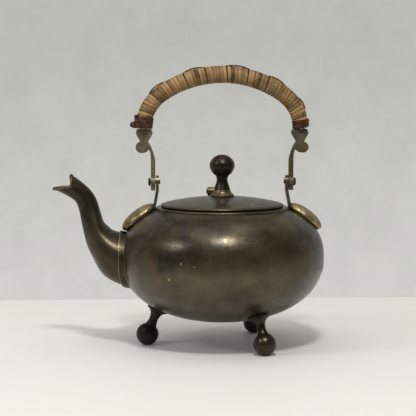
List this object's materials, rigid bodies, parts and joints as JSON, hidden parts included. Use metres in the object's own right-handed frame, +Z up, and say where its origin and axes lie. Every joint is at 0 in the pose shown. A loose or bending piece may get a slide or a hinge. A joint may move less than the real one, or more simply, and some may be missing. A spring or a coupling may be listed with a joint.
{
  "type": "teapot",
  "caption": "Small round patinated brass teapot on ball feet, with a domed hinged lid, a curved spout and a cane-bound swinging bail handle.",
  "frame": {"origin": "centre of the whole part's footprint, on the surface that its feet stand on", "axes": "+Z up, -X towards the spout, the bail pivots lie on a line along X and the lid hinge is on the +Y side"},
  "size_m": [0.1764, 0.133, 0.1841],
  "materials": {
    "dark_brass": "old brown patina, soft satin gloss, blotched",
    "bright_brass": "worn satin brass",
    "arm_brass": "dull olive patina",
    "bronze": "dark brown patina, satin",
    "rod_wood": "raw",
    "cane": "smooth split cane",
    "stringer_cane": "dyed cane",
    "binding_cane": "dyed red-brown cane"
  },
  "bodies": {
    "pot": {"body_shell": "dark_brass", "mouth_ring": "dark_brass", "spout": "dark_brass", "spout_collar": "bright_brass", "body_hinge_leaf": "bright_brass", "hinge_pin": "bright_brass", "ear_bracket_left": "bright_brass", "ear_bracket_right": "bright_brass", "pivot_rivet_left": "bright_brass", "pivot_rivet_right": "bright_brass", "foot_spout": "bronze", "foot_front": "bronze", "foot_rear": "bronze"},
    "lid": {"lid_plate": "dark_brass", "lid_flange": "dark_brass", "lid_hinge_leaf": "bright_brass", "finial_base": "bronze", "finial_knob": "bronze", "finial_nut": "bright_brass"},
    "bail": {"bail_arm_left": "arm_brass", "bail_arm_right": "arm_brass", "bail_rod": "rod_wood", "cane_padding": "cane", "cane_winding": "cane", "cane_stringer": "stringer_cane", "cane_binding_left": "binding_cane", "cane_binding_right": "binding_cane"}
  },
  "joints": [
    {"name": "bail_swing", "type": "hinge", "parent": "pot", "child": "bail", "pos_m": [0.02175, 0, 0.1069], "axis": [1, 0, 0], "range_deg": [-108, 108]},
    {"name": "lid_hinge", "type": "hinge", "parent": "pot", "child": "lid", "pos_m": [0.02175, 0.0434, 0.0972], "axis": [-1, 0, 0], "range_deg": [0, 100]}
  ]
}
